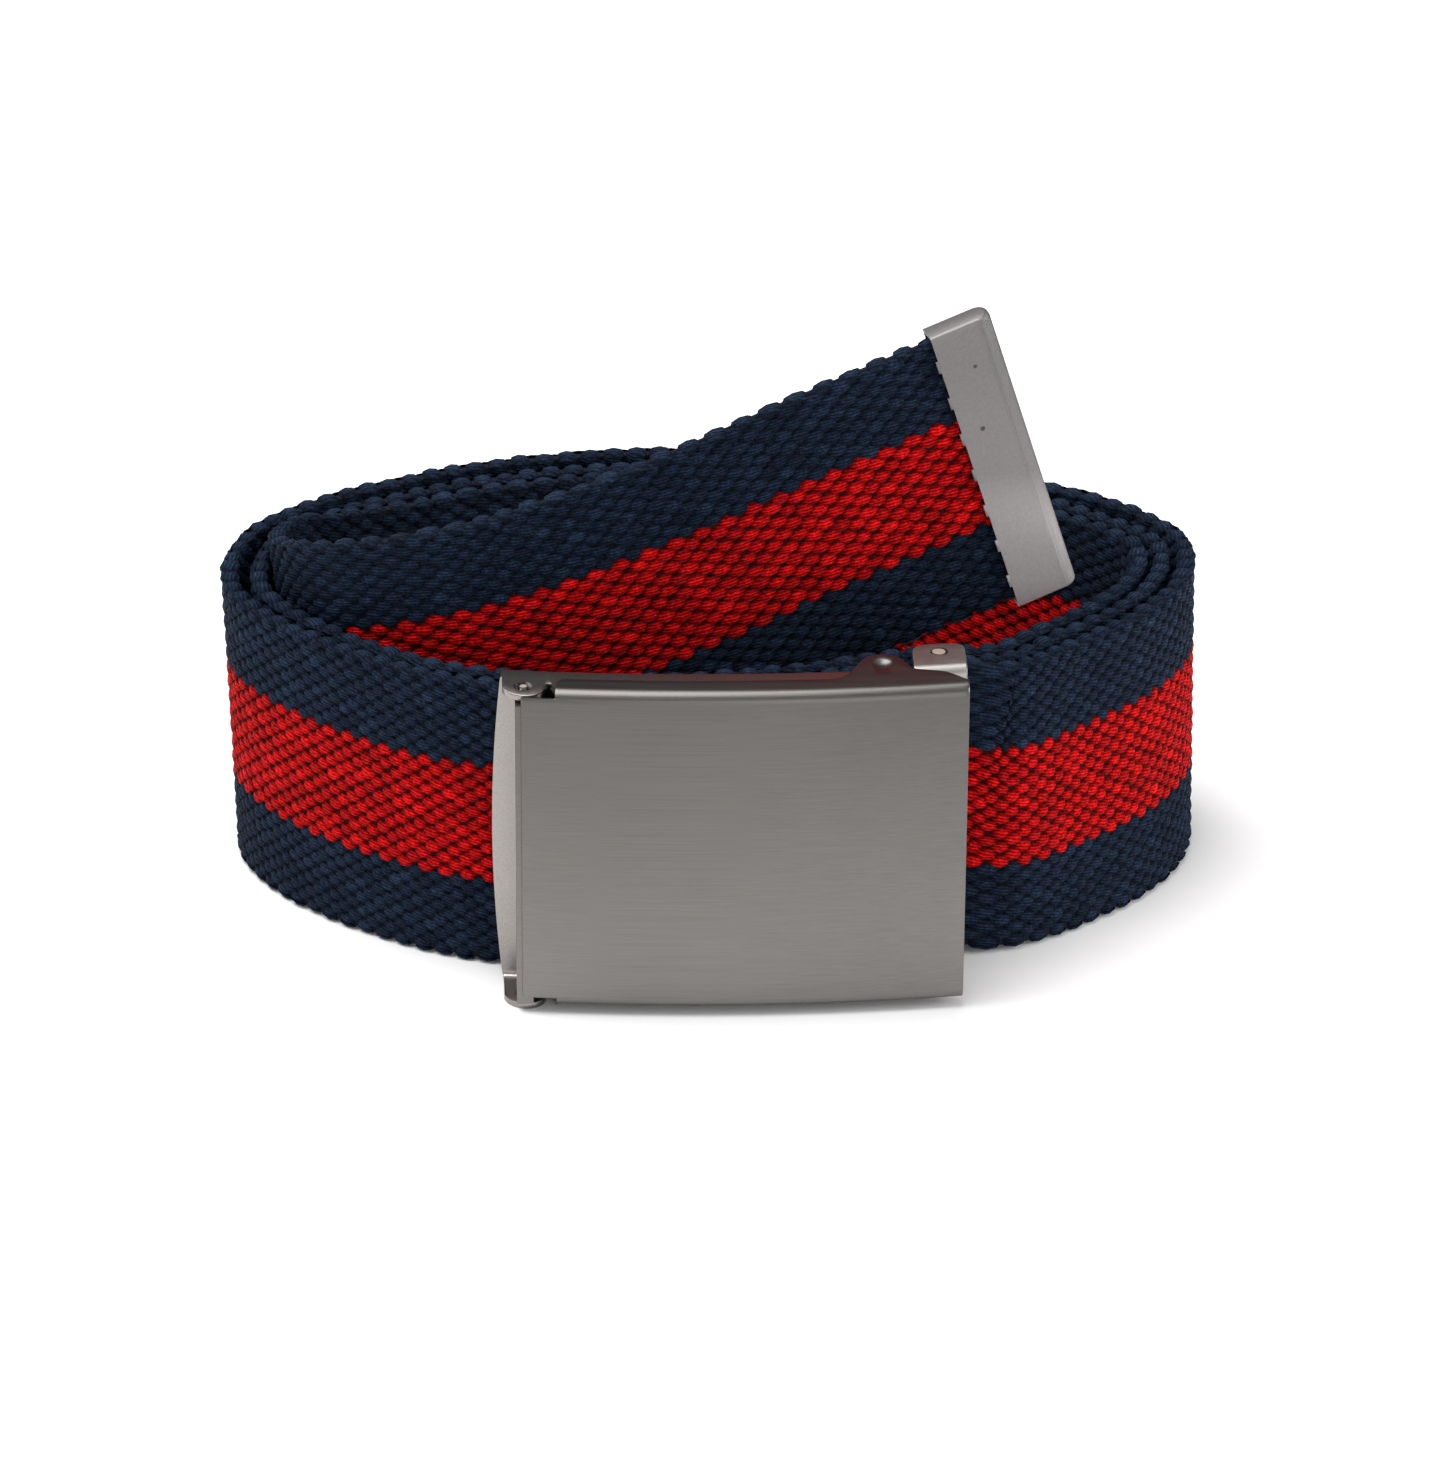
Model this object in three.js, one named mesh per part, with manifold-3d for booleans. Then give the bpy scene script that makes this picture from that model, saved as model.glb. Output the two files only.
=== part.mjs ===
// Coiled striped web belt with a flip-top buckle, in millimetres, +Z up.
// The belt stands on its lower edge; its buckle faces -Y and its free end rises inside the coil.
import * as THREE from 'three';
import { mergeVertices } from 'three/addons/utils/BufferGeometryUtils.js';
import Module from 'manifold-3d';

const wasm = await Module();
wasm.setup();

// Webbing
const strapWidth = 38.6;
const strapThickness = 2.2;
const strapEdgeRound = 0.5;
const strapStep = 4.2;
const loopStep = 1.3;
const loopLength = 16;
const loopSlack = 0.15;
const loopTail = 2.6;
const loopLead = 3.5;
const halfTurnSteps = 6;
const lineDivisions = 4000;

// Metal sheet and the buckle's outside sizes
const sheet = 0.8;
const bendRadius = 1.5;
const bendSteps = 3;
const uprightRows = 5;
const coverWidth = 53.3;
const coverHeight = 42.2;
const frameHeight = 42.2;
const fitGap = 0.3;
const coverBottom = sheet + fitGap;
const coverTop = coverBottom + coverHeight;
const frameDepth = 9.1;
const lowFlangeDepth = 6.2;
const frameLeft = -28.75;
const frameRight = 20.2;
const frameBulge = 1.25;
const bowRadius = 220;
const bowSagitta = coverWidth ** 2 / (8 * bowRadius);

// Where the buckle stands and how far it is turned
const buckleX = 3;
const buckleY = -74.6;
const buckleTurn = THREE.MathUtils.degToRad(2.4);

// Hinge of the cover
const hingeX = -26.25;
const hingeDepth = 3.8;
const hingePinRadius = 0.42;
const hingeHoleRadius = 1.15;
const barrelInner = 0.72;
const barrelOuter = 1;
const camReach = 3;
const camHalf = 0.7;
const notchDepth = 1;
const notchRight = -22.55;
const notchFront = -2;
const notchBack = 4;

// Clamp that holds the fixed end
const clampLeft = 20.5;
const clampRight = 26.9;
const clampHeight = 41.9;
const clampFront = 8;
const clampBack = 15;
const clampPinX = 23.7;
const clampPinDepth = 12.8;
const clampPinRadius = 0.8;
const clampHoleRadius = 1.1;
const clampTongue = 12;
const tongueMargin = 8;
const strapLift = 1;

// Metal tip on the free end
const tipLength = 8;
const tipWall = 0.4;
const foldSteps = 4;
const foldShare = 0.92;
const tipWidth = strapWidth + 2 * (fitGap + tipWall);
const tipThickness = strapThickness + 2 * (fitGap + tipWall);

// How far a cutting solid passes the faces that it cuts, and how near two corners are joined as one
const cutMargin = 1;
const weldDistance = 1e-4;

// Outer face of the coil seen from above, one row per station from the front to the right, back and left.
// lean is the outward tilt in degrees, lift the height of the lower edge, and first, second and third
// are how far inside this outline the strap's middle runs on each turn.
const stations = [
  { place: 'behind_buckle', x: 4, y: -64.7, lean: 0, lift: 0, first: 1.1, second: 2.2, third: 5.2 },
  { place: 'clamp', x: 24, y: -60.2, lean: 0, lift: 1, first: 1.1, second: 3.9, third: 6.6 },
  { place: 'front_right', x: 36, y: -58.4, lean: -1, lift: 0.2, first: 1.1, second: 3.9, third: 6.6 },
  { place: 'right_bend_a', x: 45.2, y: -51.1, lean: -3, lift: 0, first: 1.1, second: 3.9, third: 6.6 },
  { place: 'right_bend_b', x: 52.7, y: -43.3, lean: -3, lift: 0, first: 1.1, second: 3.9, third: 6.7 },
  { place: 'right_bend_c', x: 57.7, y: -34.4, lean: -2, lift: 0, first: 1.1, second: 4.1, third: 6.9 },
  { place: 'right', x: 59.2, y: -26, lean: -1, lift: 0, first: 1.1, second: 4.2, third: 7 },
  { place: 'right_back_a', x: 57.8, y: -18.6, lean: 0, lift: 0, first: 1.1, second: 4.5, third: 7.2 },
  { place: 'right_back_b', x: 53, y: -12, lean: 0, lift: 0, first: 1.1, second: 5.1, third: 7.8 },
  { place: 'right_back_c', x: 45, y: -6, lean: 0, lift: 0, first: 1.1, second: 5.4, third: 8 },
  { place: 'back_a', x: 33, y: -0.8, lean: 0, lift: 0, first: 1.1, second: 5.5, third: 8.1 },
  { place: 'back_b', x: 18, y: 3.3, lean: 0, lift: 0, first: 1.1, second: 5.5, third: 8.1 },
  { place: 'back_c', x: 0, y: 5.5, lean: 0, lift: 0, first: 1.1, second: 5.5, third: 8.1 },
  { place: 'back_d', x: -16, y: 4.9, lean: 0, lift: 0, first: 1.1, second: 5.5, third: 8.1 },
  { place: 'back_e', x: -30, y: 1.3, lean: 0, lift: 0, first: 1.1, second: 5.4, third: 8 },
  { place: 'left_back_a', x: -42, y: -4.4, lean: 0, lift: 0, first: 1.1, second: 5.2, third: 8 },
  { place: 'left_back_b', x: -52, y: -11.5, lean: 1, lift: 0, first: 1.1, second: 5, third: 8 },
  { place: 'left_back_c', x: -58.8, y: -20, lean: 2, lift: 0, first: 1.1, second: 4.9, third: 8 },
  { place: 'left', x: -61.2, y: -30, lean: 2, lift: 0, first: 1.1, second: 4.8, third: 7.8 },
  { place: 'left_bend_a', x: -59.6, y: -38.8, lean: 2, lift: 0, first: 1.1, second: 4.4, third: 7.8 },
  { place: 'left_bend_b', x: -53.8, y: -47.2, lean: 1, lift: 0, first: 1.1, second: 4, third: 8 },
  { place: 'front_left_a', x: -44, y: -55.8, lean: 1, lift: 0, first: 1.1, second: 3.9, third: 8 },
  { place: 'front_left_b', x: -32, y: -62.3, lean: 1, lift: 0, first: 1.1, second: 3.9, third: 8 },
  { place: 'front_left_c', x: -16, y: -65, lean: 1, lift: 0, first: 1.1, second: 3.9, third: 8 },
];
const coilStart = 1.75;
const coilStep = 0.25;
const leavingStation = 15;

// Middle of the free end after it leaves the third turn, one row per station
const freeEnd = [
  { place: 'left_loop_back', x: -51.6, y: -20, z: 20.3, lean: 2 },
  { place: 'left_loop', x: -53.6, y: -28.4, z: 22.2, lean: 2 },
  { place: 'left_loop_front', x: -51.6, y: -37, z: 24.9, lean: 2 },
  { place: 'turning_right', x: -45.6, y: -44.6, z: 28.5, lean: 2 },
  { place: 'across_a', x: -36.4, y: -48.6, z: 31.9, lean: 2 },
  { place: 'across_b', x: -20.7, y: -49.1, z: 36.6, lean: 2 },
  { place: 'across_c', x: -3, y: -46.4, z: 43, lean: 2 },
  { place: 'across_d', x: 13, y: -42.1, z: 49, lean: 2 },
  { place: 'tip', x: 30.4, y: -37.2, z: 55, lean: 2 },
];
const tipOverlap = 7;

// Depth of the cover's flange along its width, with the round lobe near the right end
const flangeRows = [
  { x: -coverWidth / 2, depth: 2.2 },
  { x: -23.2, depth: 2.2 },
  { x: -22.5, depth: 2.6 },
  { x: -21.9, depth: 3.7 },
  { x: -21, depth: 4 },
  { x: -11, depth: 4 },
  { x: 0, depth: 4 },
  { x: 10.4, depth: 4 },
  { x: 11.6, depth: 4.4 },
  { x: 12.8, depth: 5.9 },
  { x: 13.8, depth: 8.1 },
  { x: 14.9, depth: 9.6 },
  { x: 16.8, depth: 10.1 },
  { x: 18.5, depth: 9.2 },
  { x: 19.3, depth: 7.9 },
  { x: 19.9, depth: 6.4 },
  { x: 20.6, depth: 5.7 },
  { x: 22, depth: 5.3 },
  { x: 24, depth: 4.6 },
  { x: 25.3, depth: 3.4 },
  { x: 26.2, depth: 2.4 },
  { x: coverWidth / 2, depth: 2.2 },
];

// Front edge of the frame's walls along its width, with the round ears at the left end.
// The bottom wall stands back further, low is its front edge where it differs from the top wall's.
const lowWallFront = 3.8;
const wallRows = [
  { x: frameLeft, front: 3.3 },
  { x: -28.4, front: 2.43 },
  { x: -27.6, front: 1.64 },
  { x: hingeX, front: 1.25 },
  { x: -24.9, front: 1.64 },
  { x: -24.1, front: 2.43 },
  { x: -23.75, front: 3.3 },
  { x: -23.6, front: 4.6 },
  { x: -22.9, front: 4.6 },
  { x: -22.3, front: 1.8, low: lowWallFront },
  { x: -21.6, front: 1.6, low: lowWallFront },
  { x: -12, front: 1.6, low: lowWallFront },
  { x: 0, front: 1.6, low: lowWallFront },
  { x: 10, front: 1.6, low: lowWallFront },
  { x: frameRight, front: 1.6, low: lowWallFront },
];

function makeMaterial(name, color, roughness, metalness) {
  const material = new THREE.MeshStandardMaterial({ color, roughness, metalness });
  material.name = name;
  return material;
}

// Closed sheet lofted through sections, each an outer and an inner line of equally many points
function loftSheet(sections) {
  const vertices = [];
  const faces = [];
  const count = sections[0].outer.length;
  for (const section of sections) {
    for (const point of [...section.outer, ...section.inner]) {
      vertices.push(...point);
    }
  }
  const quad = (a, b, c, d) => faces.push(a, b, c, a, c, d);
  const outerAt = (row, i) => row * 2 * count + i;
  const innerAt = (row, i) => outerAt(row, i) + count;
  for (let row = 0; row < sections.length - 1; row += 1) {
    for (let i = 0; i < count - 1; i += 1) {
      quad(outerAt(row, i), outerAt(row + 1, i), outerAt(row + 1, i + 1), outerAt(row, i + 1));
      quad(innerAt(row, i + 1), innerAt(row + 1, i + 1), innerAt(row + 1, i), innerAt(row, i));
    }
    const last = count - 1;
    quad(innerAt(row, 0), innerAt(row + 1, 0), outerAt(row + 1, 0), outerAt(row, 0));
    quad(outerAt(row, last), outerAt(row + 1, last), innerAt(row + 1, last), innerAt(row, last));
  }
  const end = sections.length - 1;
  for (let i = 0; i < count - 1; i += 1) {
    quad(outerAt(0, i), outerAt(0, i + 1), innerAt(0, i + 1), innerAt(0, i));
    quad(innerAt(end, i), innerAt(end, i + 1), outerAt(end, i + 1), outerAt(end, i));
  }
  const geometry = new THREE.BufferGeometry();
  geometry.setAttribute('position', new THREE.Float32BufferAttribute(vertices, 3));
  geometry.setIndex(faces);
  return facingOut(geometry);
}

function signedVolume(geometry) {
  const position = geometry.getAttribute('position');
  const index = geometry.getIndex();
  const corners = [new THREE.Vector3(), new THREE.Vector3(), new THREE.Vector3()];
  let volume = 0;
  for (let i = 0; i < index.count; i += 3) {
    corners.forEach((corner, k) => corner.fromBufferAttribute(position, index.getX(i + k)));
    volume += corners[0].dot(corners[1].clone().cross(corners[2])) / 6;
  }
  return volume;
}

function facingOut(geometry) {
  if (signedVolume(geometry) < 0) {
    const index = geometry.getIndex();
    for (let i = 0; i < index.count; i += 3) {
      const second = index.getX(i + 1);
      index.setX(i + 1, index.getX(i + 2));
      index.setX(i + 2, second);
    }
  }
  return geometry;
}

function toSolid(source) {
  const bare = source.clone();
  bare.deleteAttribute('normal');
  bare.deleteAttribute('uv');
  const merged = mergeVertices(bare, weldDistance);
  const mesh = new wasm.Mesh({
    numProp: 3,
    vertProperties: Float32Array.from(merged.getAttribute('position').array),
    triVerts: Uint32Array.from(merged.getIndex().array),
  });
  return new wasm.Manifold(mesh);
}

function fromSolid(solid) {
  const mesh = solid.getMesh();
  const geometry = new THREE.BufferGeometry();
  geometry.setAttribute('position', new THREE.BufferAttribute(Float32Array.from(mesh.vertProperties), 3));
  geometry.setIndex(new THREE.BufferAttribute(Uint32Array.from(mesh.triVerts), 1));
  return geometry;
}

function block(x0, x1, y0, y1, z0, z1) {
  const geometry = new THREE.BoxGeometry(x1 - x0, y1 - y0, z1 - z0);
  return geometry.translate((x0 + x1) / 2, (y0 + y1) / 2, (z0 + z1) / 2);
}

function post(x, y, radius, z0, z1, sides = 16) {
  const geometry = new THREE.CylinderGeometry(radius, radius, z1 - z0, sides);
  return geometry.rotateX(Math.PI / 2).translate(x, y, (z0 + z1) / 2);
}

// The buckle is bowed about a vertical axis, so its middle stands further forward than its ends
function bowAt(x) {
  return x ** 2 / (2 * bowRadius) - bowSagitta;
}

// Channel section: a web at depth `web`, with walls running to depth `edge` at the top and `lowEdge` below
function channelSection(x, web, edge, bottom, top, thickness, lowEdge = edge) {
  const side = Math.sign(edge - web);
  const bow = bowAt(x);
  const line = (offset) => {
    const points = [];
    const radius = bendRadius - offset;
    const corner = (z, direction) => {
      const arc = [];
      for (let i = 0; i <= bendSteps; i += 1) {
        const angle = (i / bendSteps) * (Math.PI / 2);
        const depth = web + side * (bendRadius - radius * Math.sin(angle));
        const height = z + direction * (radius * Math.cos(angle) - bendRadius);
        arc.push([x, depth + bow, height]);
      }
      return arc;
    };
    points.push([x, edge + bow, top - offset]);
    points.push(...corner(top, 1));
    for (let i = 1; i < uprightRows; i += 1) {
      const z = THREE.MathUtils.lerp(top - bendRadius, bottom + bendRadius, i / uprightRows);
      points.push([x, web + side * offset + bow, z]);
    }
    points.push(...corner(bottom, -1).reverse());
    points.push([x, lowEdge + bow, bottom + offset]);
    return points;
  };
  return { outer: line(0), inner: line(thickness) };
}

function makeCover() {
  const sections = flangeRows.map(({ x, depth }) => {
    const lowDepth = Math.min(depth, lowFlangeDepth);
    return channelSection(x, 0, depth, coverBottom, coverTop, sheet, lowDepth);
  });
  let solid = toSolid(loftSheet(sections));
  const left = -coverWidth / 2 - cutMargin;
  const topNotch = coverTop - notchDepth;
  const lowNotch = coverBottom + notchDepth;
  const past = coverTop + cutMargin;
  solid = solid.subtract(toSolid(block(left, notchRight, notchFront, notchBack, topNotch, past)));
  solid = solid.subtract(toSolid(block(left, notchRight, notchFront, notchBack, -cutMargin, lowNotch)));
  const low = sheet + fitGap;
  const high = frameHeight - low;
  const hingeY = hingeDepth + bowAt(hingeX);
  const knuckleFront = sheet / 2 + bowAt(hingeX);
  const knuckle = block(hingeX - barrelOuter, hingeX + barrelOuter, knuckleFront, hingeY, low, high);
  const cam = block(hingeX - camHalf, hingeX + camHalf, hingeY, hingeY + camReach, low, high);
  solid = solid.add(toSolid(post(hingeX, hingeY, barrelOuter, low, high)));
  solid = solid.add(toSolid(knuckle)).add(toSolid(cam));
  solid = solid.subtract(toSolid(post(hingeX, hingeY, barrelInner, -cutMargin, coverTop + cutMargin)));
  return fromSolid(solid);
}

function makeFrame() {
  const middle = frameHeight / 2;
  const sections = wallRows.map(({ x, front, low = front }) => {
    return channelSection(x, frameDepth, front, 0, frameHeight, sheet, low);
  });
  for (const point of [...sections[0].outer, ...sections[0].inner]) {
    const height = (point[2] - middle) / middle;
    point[0] -= frameBulge * (1 - height ** 2);
  }
  const holeY = hingeDepth + bowAt(hingeX);
  const hole = post(hingeX, holeY, hingeHoleRadius, -cutMargin, frameHeight + cutMargin);
  return fromSolid(toSolid(loftSheet(sections)).subtract(toSolid(hole)));
}

function makeClamp() {
  const rows = [clampLeft, (clampLeft + clampRight) / 2, clampRight];
  const sections = rows.map((x) => channelSection(x, clampFront, clampBack, 0, clampHeight, sheet));
  const tongueRight = clampLeft + sheet;
  const tongueBack = frameDepth - sheet - fitGap;
  const low = tongueMargin;
  const high = clampHeight - tongueMargin;
  const tongueSections = [clampTongue, (clampTongue + tongueRight) / 2, tongueRight].map((x) => {
    const back = tongueBack + bowAt(x);
    const line = (y) => [[x, y, low], [x, y, high]];
    return { outer: line(back - sheet), inner: line(back) };
  });
  const bow = bowAt(clampLeft);
  const stepFront = tongueBack - sheet / 2 + bow;
  const stepBack = clampFront + sheet / 2 + bow;
  const step = block(clampLeft, tongueRight, stepFront, stepBack, low, high);
  const pinY = clampPinDepth + bowAt(clampPinX);
  const solid = toSolid(loftSheet(sections)).add(toSolid(loftSheet(tongueSections))).add(toSolid(step));
  const hole = post(clampPinX, pinY, clampHoleRadius, -cutMargin, clampHeight + cutMargin);
  return fromSolid(solid.subtract(toSolid(hole)));
}

// Value of one column between stations, smooth through the rows
function columnAt(values, position) {
  const index = Math.floor(position);
  const f = position - index;
  const at = (i) => values[THREE.MathUtils.clamp(i, 0, values.length - 1)];
  const [a, b, c, d] = [at(index - 1), at(index), at(index + 1), at(index + 2)];
  const slopeStart = (c - a) / 2;
  const slopeEnd = (d - b) / 2;
  const bend = b * (2 * f ** 3 - 3 * f ** 2 + 1) + c * (3 * f ** 2 - 2 * f ** 3);
  return bend + slopeStart * (f ** 3 - 2 * f ** 2 + f) + slopeEnd * (f ** 3 - f ** 2);
}

function clampPinPlace() {
  const local = new THREE.Vector3(clampPinX, clampPinDepth + bowAt(clampPinX), 0);
  local.applyAxisAngle(new THREE.Vector3(0, 0, 1), buckleTurn);
  return local.add(new THREE.Vector3(buckleX, buckleY, 0));
}

// Middle line of the strap: round the clamp pin, three turns of the coil, then the rising free end
function strapLine() {
  const outline = new THREE.CatmullRomCurve3(
    stations.map(({ x, y }) => new THREE.Vector3(x, y, 0)), true, 'centripetal');
  const turn = stations.length;
  const insets = ['first', 'second', 'third'].flatMap((name) => stations.map((row) => row[name]));
  const cycle = (name) => [0, 1, 2].flatMap(() => stations.map((row) => row[name]));
  const leans = cycle('lean');
  const lifts = cycle('lift').map((lift, i) => (i < turn ? lift : 0));
  const line = [];

  const pin = clampPinPlace();
  const loopRadius = clampPinRadius + fitGap + loopSlack + strapThickness / 2;
  const along = new THREE.Vector3(Math.cos(buckleTurn), Math.sin(buckleTurn), 0);
  const inward = new THREE.Vector3(-along.y, along.x, 0);
  const middleHeight = strapWidth / 2;
  const startHeight = middleHeight + strapLift;
  const place = (u, v) => pin.clone().addScaledVector(along, u).addScaledVector(inward, v).setZ(startHeight);
  line.push({ point: place(loopTail, -loopRadius), lean: 0 });
  for (let i = 0; i <= halfTurnSteps; i += 1) {
    const angle = -Math.PI / 2 - (i / halfTurnSteps) * Math.PI;
    line.push({ point: place(loopRadius * Math.cos(angle), loopRadius * Math.sin(angle)), lean: 0 });
  }
  line.push({ point: place(loopLead, loopRadius), lean: 0 });

  const coilEnd = 2 * turn + leavingStation;
  for (let position = coilStart; position <= coilEnd; position += coilStep) {
    const share = (position % turn) / turn;
    const base = outline.getPoint(share);
    const tangent = outline.getTangent(share);
    const inset = columnAt(insets, position);
    const point = base.add(new THREE.Vector3(-tangent.y, tangent.x, 0).multiplyScalar(inset));
    point.z = middleHeight + Math.max(0, columnAt(lifts, position));
    line.push({ point, lean: columnAt(leans, position) });
  }
  for (const row of freeEnd) {
    line.push({ point: new THREE.Vector3(row.x, row.y, row.z), lean: row.lean });
  }
  const last = line[line.length - 1].point;
  const heading = last.clone().sub(line[line.length - 2].point).normalize();
  const end = last.clone().addScaledVector(heading, tipOverlap);
  line.push({ point: end, lean: freeEnd[freeEnd.length - 1].lean });
  return line;
}

// Evenly spaced frames along the strap: middle, direction, across (up the width) and outward normal
function strapFrames() {
  const line = strapLine();
  const curve = new THREE.CatmullRomCurve3(line.map(({ point }) => point), false, 'centripetal');
  curve.arcLengthDivisions = lineDivisions;
  const leans = line.map(({ lean }) => lean);
  const total = curve.getLength();
  const count = Math.round(total / strapStep);
  const distances = [];
  for (let d = 0; d < loopLength; d += loopStep) {
    distances.push(d);
  }
  for (let i = 0; i <= count; i += 1) {
    const d = (i / count) * total;
    if (d >= loopLength) {
      distances.push(d);
    }
  }
  return distances.map((distance) => {
    const share = curve.getUtoTmapping(distance / total);
    const middle = curve.getPoint(share);
    const along = curve.getTangent(share);
    const lean = THREE.MathUtils.degToRad(columnAt(leans, share * (line.length - 1)));
    const up = new THREE.Vector3(0, 0, 1);
    up.addScaledVector(along, -up.dot(along)).normalize();
    const outward = new THREE.Vector3().crossVectors(along, up);
    const across = up.clone().multiplyScalar(Math.cos(lean)).addScaledVector(outward, Math.sin(lean));
    const normal = new THREE.Vector3().crossVectors(along, across);
    return { middle, along, across, normal };
  });
}

function makeWebbing(frames) {
  const halfWidth = strapWidth / 2;
  const halfThickness = strapThickness / 2;
  const profile = [
    [-halfWidth, halfThickness - strapEdgeRound],
    [-halfWidth + strapEdgeRound, halfThickness],
    [halfWidth - strapEdgeRound, halfThickness],
    [halfWidth, halfThickness - strapEdgeRound],
  ];
  const sections = frames.map(({ middle, across, normal }) => {
    const place = (u, v) => middle.clone().addScaledVector(across, u).addScaledVector(normal, v).toArray();
    return {
      outer: profile.map(([u, v]) => place(u, v)),
      inner: profile.map(([u, v]) => place(u, -v)),
    };
  });
  return loftSheet(sections);
}

// Folded metal tip: a shell open towards the strap, with a round fold at its free edge
function makeTip() {
  const half = tipThickness / 2;
  const rows = [0, tipLength - half];
  for (let i = 1; i <= foldSteps; i += 1) {
    rows.push(tipLength - half + half * Math.sin((i / foldSteps) * (Math.PI / 2) * foldShare));
  }
  const sections = rows.map((x) => {
    const over = Math.max(0, x - (tipLength - half));
    const reach = Math.sqrt(half ** 2 - over ** 2);
    return {
      outer: [[x, -reach, -tipWidth / 2], [x, -reach, tipWidth / 2]],
      inner: [[x, reach, -tipWidth / 2], [x, reach, tipWidth / 2]],
    };
  });
  const pocketDepth = tipOverlap + fitGap;
  const pocketHalf = strapThickness / 2 + fitGap;
  const pocketWidth = strapWidth / 2 + fitGap;
  const pocket = block(-cutMargin, pocketDepth, -pocketHalf, pocketHalf, -pocketWidth, pocketWidth);
  return fromSolid(toSolid(loftSheet(sections)).subtract(toSolid(pocket)));
}

const webbingMaterial = makeMaterial('striped_webbing', 0x1e2a3e, 0.9, 0);
const brushedMaterial = makeMaterial('brushed_nickel', 0x8f8e8a, 0.35, 1);
const satinMaterial = makeMaterial('satin_nickel', 0xa09e9c, 0.45, 1);
const tipMaterial = makeMaterial('tip_nickel', 0x9a9896, 0.4, 1);

function addMesh(parent, name, geometry, material) {
  const mesh = new THREE.Mesh(geometry, material.clone());
  mesh.name = name;
  parent.add(mesh);
  return mesh;
}

const belt = new THREE.Group();
const frames = strapFrames();
addMesh(belt, 'webbing', makeWebbing(frames), webbingMaterial);

const endFrame = frames[frames.length - 1];
const tip = addMesh(belt, 'tip_cap', makeTip(), tipMaterial);
const tipAxes = new THREE.Matrix4().makeBasis(
  endFrame.along,
  new THREE.Vector3().crossVectors(endFrame.across, endFrame.along),
  endFrame.across);
tip.quaternion.setFromRotationMatrix(tipAxes);
tip.position.copy(endFrame.middle).addScaledVector(endFrame.along, -tipOverlap);

const buckle = new THREE.Group();
buckle.position.set(buckleX, buckleY, 0);
buckle.rotation.z = buckleTurn;
belt.add(buckle);
addMesh(buckle, 'buckle_cover', makeCover(), brushedMaterial);
addMesh(buckle, 'buckle_frame', makeFrame(), satinMaterial);
addMesh(buckle, 'strap_clamp', makeClamp(), brushedMaterial);
const hingePin = post(hingeX, hingeDepth + bowAt(hingeX), hingePinRadius, 0, frameHeight);
addMesh(buckle, 'hinge_pin', hingePin, satinMaterial);
const clampPin = post(clampPinX, clampPinDepth + bowAt(clampPinX), clampPinRadius, 0, clampHeight);
addMesh(buckle, 'clamp_pin', clampPin, satinMaterial);

// The origin is the middle of the footprint, on the surface that the belt stands on
const box = new THREE.Box3().setFromObject(belt, true);
const centre = box.getCenter(new THREE.Vector3());
const part = new THREE.Group();
belt.position.set(-centre.x, -centre.y, -box.min.z);
part.add(belt);

export default part;
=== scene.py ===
import math
import bmesh
import bpy
import numpy as np
from mathutils import Matrix, Vector


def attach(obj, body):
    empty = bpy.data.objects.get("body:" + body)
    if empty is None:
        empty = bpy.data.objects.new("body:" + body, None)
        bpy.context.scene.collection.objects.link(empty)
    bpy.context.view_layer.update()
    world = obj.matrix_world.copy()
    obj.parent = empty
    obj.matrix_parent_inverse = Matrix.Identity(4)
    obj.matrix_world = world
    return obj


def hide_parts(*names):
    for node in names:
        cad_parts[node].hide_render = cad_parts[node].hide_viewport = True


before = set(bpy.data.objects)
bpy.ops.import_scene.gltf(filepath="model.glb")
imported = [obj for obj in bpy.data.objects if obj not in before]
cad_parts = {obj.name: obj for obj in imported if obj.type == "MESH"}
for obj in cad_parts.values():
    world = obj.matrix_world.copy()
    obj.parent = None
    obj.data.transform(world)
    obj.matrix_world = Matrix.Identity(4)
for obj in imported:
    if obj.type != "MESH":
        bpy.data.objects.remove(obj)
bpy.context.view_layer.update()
print("frame loaded:", len(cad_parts), "nodes")

mm = 0.001
shift = np.array([1.13418, 35.39808, 0.00932])  # from the coil's drawing to the part's origin
tiny = 0.0001  # mm, to find edges by where they lie


# small helpers, used by every piece below

def newPiece(name, mesh, material, body, nodes=()):
    piece = bpy.data.objects.new(name, mesh)
    bpy.context.scene.collection.objects.link(piece)
    mesh.materials.clear()
    mesh.materials.append(material)
    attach(piece, body)
    if nodes:
        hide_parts(*nodes)


def meshOf(bm, name):
    mesh = bpy.data.meshes.new(name)
    bm.to_mesh(mesh)
    bm.free()
    return mesh


def shadeSmooth(mesh):
    mesh.polygons.foreach_set("use_smooth", np.ones(len(mesh.polygons), bool))


def roundOff(bm, edges, width, segments=2):
    bmesh.ops.bevel(bm, geom=edges, affect="EDGES", offset=width, segments=segments, profile=0.5, material=-1)


def vertsOf(made):  # the corners among what an operator made
    return [g for g in made["geom"] if isinstance(g, bmesh.types.BMVert)]


def smoothColumn(values, position):  # a table's column, smooth between its rows
    values = np.asarray(values, float)
    position = np.asarray(position, float)
    k = np.floor(position).astype(int)
    f = position - k
    a, b, c, d = (values[np.clip(k + i, 0, len(values) - 1)] for i in (-1, 0, 1, 2))
    bend = b * (2 * f**3 - 3 * f**2 + 1) + c * (3 * f**2 - 2 * f**3)
    return bend + (c - a) / 2 * (f**3 - 2 * f**2 + f) + (d - b) / 2 * (f**3 - f**2)


def smoothTable(xs, values, x):
    return smoothColumn(values, np.interp(x, xs, np.arange(len(xs))))


# materials

def nodeTree(name):
    material = bpy.data.materials.new(name)
    material.use_nodes = True
    tree = material.node_tree
    return material, tree, tree.nodes["Principled BSDF"]


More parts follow.
